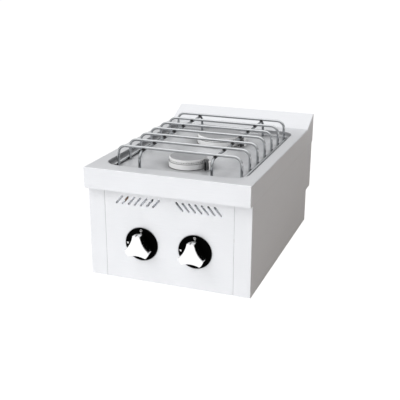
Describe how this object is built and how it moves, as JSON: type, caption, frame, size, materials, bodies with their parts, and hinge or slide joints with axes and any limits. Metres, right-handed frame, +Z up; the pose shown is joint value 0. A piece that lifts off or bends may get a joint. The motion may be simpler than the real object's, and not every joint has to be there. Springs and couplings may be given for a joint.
{
  "type": "two burner gas stove",
  "caption": "Stainless steel countertop gas stove with burners one behind the other under a chromed wire grate, push-and-turn knobs, slanted vents and a sloping rear upstand.",
  "frame": {"origin": "on the surface that the feet stand on, under the middle of the stove's box", "axes": "+X to the right seen from the front, +Y to the back, +Z up"},
  "size_m": [0.4, 0.618, 0.3183],
  "materials": {
    "sheet_steel": "fine satin",
    "chrome_wire": "bright plated",
    "burner_alloy": "turned, matt",
    "knob_metal": "satin plated",
    "dial_black": "semi-gloss",
    "plain_steel": "zinc plated",
    "brass": "machined",
    "copper_tube": "drawn",
    "black_enamel": "matt",
    "foot_rubber": "matt"
  },
  "bodies": {
    "root": {"bezel_left": "dial_black", "bezel_right": "dial_black", "bottom_panel": "sheet_steel", "burner_cup_front": "burner_alloy", "burner_cup_rear": "burner_alloy", "control_panel": "sheet_steel", "foot_front_left": "foot_rubber", "foot_front_right": "foot_rubber", "foot_rear_left": "foot_rubber", "foot_rear_right": "foot_rubber", "injector_bracket_front": "plain_steel", "injector_bracket_rear": "plain_steel", "injector_front": "brass", "injector_rear": "brass", "inlet_fitting": "brass", "inlet_nut": "brass", "inlet_pipe": "plain_steel", "manifold": "plain_steel", "manifold_stands": "plain_steel", "mixing_tube_front": "burner_alloy", "mixing_tube_rear": "burner_alloy", "pilot_burner_front": "plain_steel", "pilot_burner_rear": "plain_steel", "pilot_shield_front": "black_enamel", "pilot_shield_rear": "black_enamel", "rear_panel": "sheet_steel", "screws": "plain_steel", "side_panel_left": "sheet_steel", "side_panel_right": "sheet_steel", "supply_tube_front": "copper_tube", "supply_tube_rear": "copper_tube", "thermocouple_front": "plain_steel", "thermocouple_rear": "plain_steel", "valve_body_left": "brass", "valve_body_right": "brass", "valve_gland_left": "brass", "valve_gland_right": "brass", "worktop": "sheet_steel"},
    "grate": {"grate_hoop_1": "chrome_wire", "grate_hoop_2": "chrome_wire", "grate_hoop_3": "chrome_wire", "grate_hoop_4": "chrome_wire", "grate_hoop_5": "chrome_wire", "grate_hoop_6": "chrome_wire", "grate_hoop_7": "chrome_wire", "grate_rail_left": "chrome_wire", "grate_rail_right": "chrome_wire", "grate_side_rods": "chrome_wire"},
    "crown_front": {"burner_crown_front": "burner_alloy"},
    "cap_front": {"burner_cap_front": "burner_alloy"},
    "crown_rear": {"burner_crown_rear": "burner_alloy"},
    "cap_rear": {"burner_cap_rear": "burner_alloy"},
    "plunger_left": {"plunger_left": "plain_steel", "valve_spring_left": "plain_steel"},
    "plunger_right": {"plunger_right": "plain_steel", "valve_spring_right": "plain_steel"},
    "knob_left": {"knob_left": "knob_metal", "spindle_left": "plain_steel"},
    "knob_right": {"knob_right": "knob_metal", "spindle_right": "plain_steel"}
  },
  "joints": [
    {"name": "grate_lift", "type": "slide", "parent": "root", "child": "grate", "axis": [0, 0, 1], "range_m": [0, 0.06]},
    {"name": "crown_front_lift", "type": "slide", "parent": "root", "child": "crown_front", "axis": [0, 0, 1], "range_m": [0, 0.01]},
    {"name": "cap_front_lift", "type": "slide", "parent": "crown_front", "child": "cap_front", "axis": [0, 0, 1], "range_m": [0, 0.008]},
    {"name": "crown_rear_lift", "type": "slide", "parent": "root", "child": "crown_rear", "axis": [0, 0, 1], "range_m": [0, 0.01]},
    {"name": "cap_rear_lift", "type": "slide", "parent": "crown_rear", "child": "cap_rear", "axis": [0, 0, 1], "range_m": [0, 0.008]},
    {"name": "knob_left_push", "type": "slide", "parent": "root", "child": "plunger_left", "axis": [0, 1, 0], "range_m": [0, 0.0035], "stiffness_N_per_m": 1500, "springref_m": -0.003},
    {"name": "knob_left_turn", "type": "hinge", "parent": "plunger_left", "child": "knob_left", "pos_m": [-0.066, -0.278, 0.103], "axis": [0, -1, 0], "range_deg": [0, 180]},
    {"name": "knob_right_push", "type": "slide", "parent": "root", "child": "plunger_right", "axis": [0, 1, 0], "range_m": [0, 0.0035], "stiffness_N_per_m": 1500, "springref_m": -0.003},
    {"name": "knob_right_turn", "type": "hinge", "parent": "plunger_right", "child": "knob_right", "pos_m": [0.066, -0.278, 0.103], "axis": [0, -1, 0], "range_deg": [0, 180]}
  ]
}
